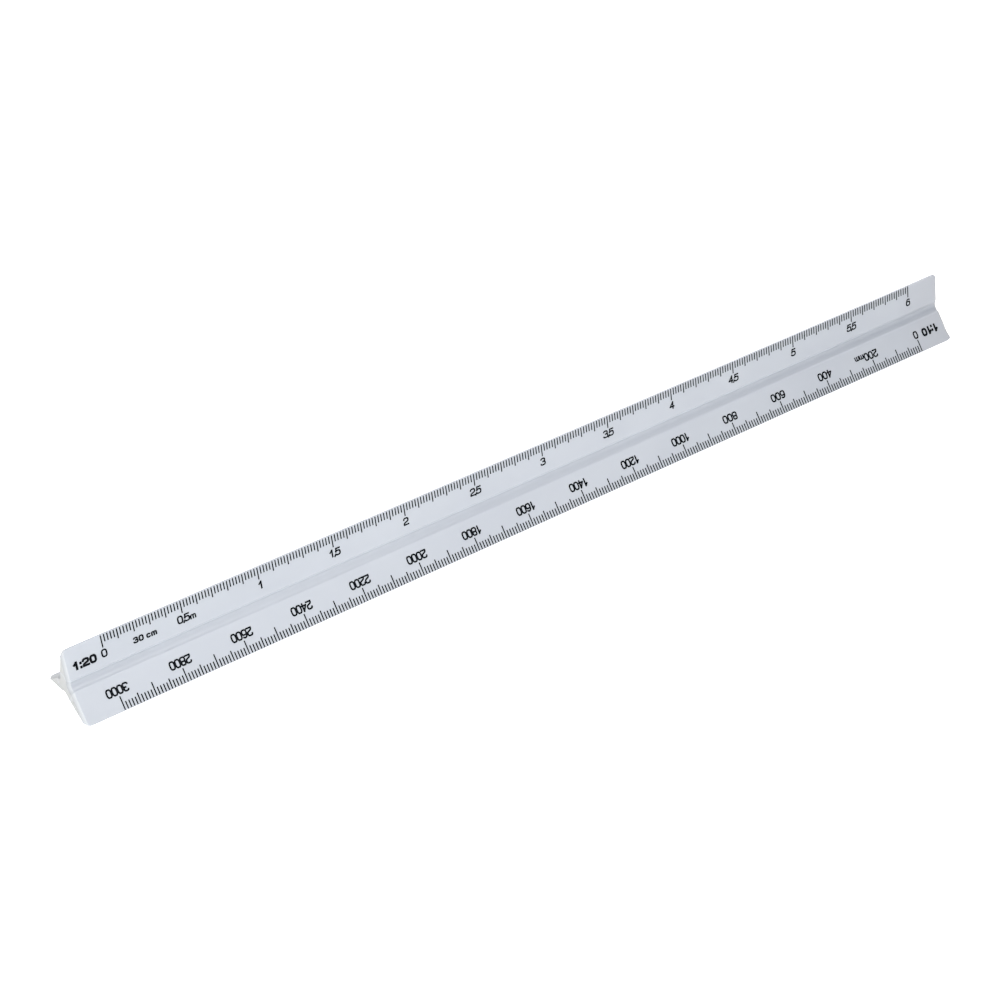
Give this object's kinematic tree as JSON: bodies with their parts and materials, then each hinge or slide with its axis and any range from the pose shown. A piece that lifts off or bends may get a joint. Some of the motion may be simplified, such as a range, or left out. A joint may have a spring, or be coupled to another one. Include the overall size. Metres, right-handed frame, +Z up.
{
  "type": "triangular scale ruler",
  "caption": "Three-armed moulded drawing ruler with graduated thin edges, grooved faces and reduction scales printed on its flanks.",
  "frame": {"origin": "under the middle of the ruler's length, midway between the two edges it rests on, at their height", "axes": "+X along the ruler, towards the end where the lower front scale starts; +Y to the back; +Z up through the top edge"},
  "size_m": [0.3256, 0.0236, 0.0204],
  "materials": {
    "body_plastic": "white moulded plastic, satin",
    "scale_ink": "black printed ink, satin"
  },
  "bodies": {
    "root": {"ruler_body": "body_plastic", "print_1_20": "scale_ink", "print_1_10": "scale_ink", "print_1_50": "scale_ink", "print_1_100": "scale_ink", "print_1_5": "scale_ink", "print_1_2_5": "scale_ink"}
  },
  "joints": []
}
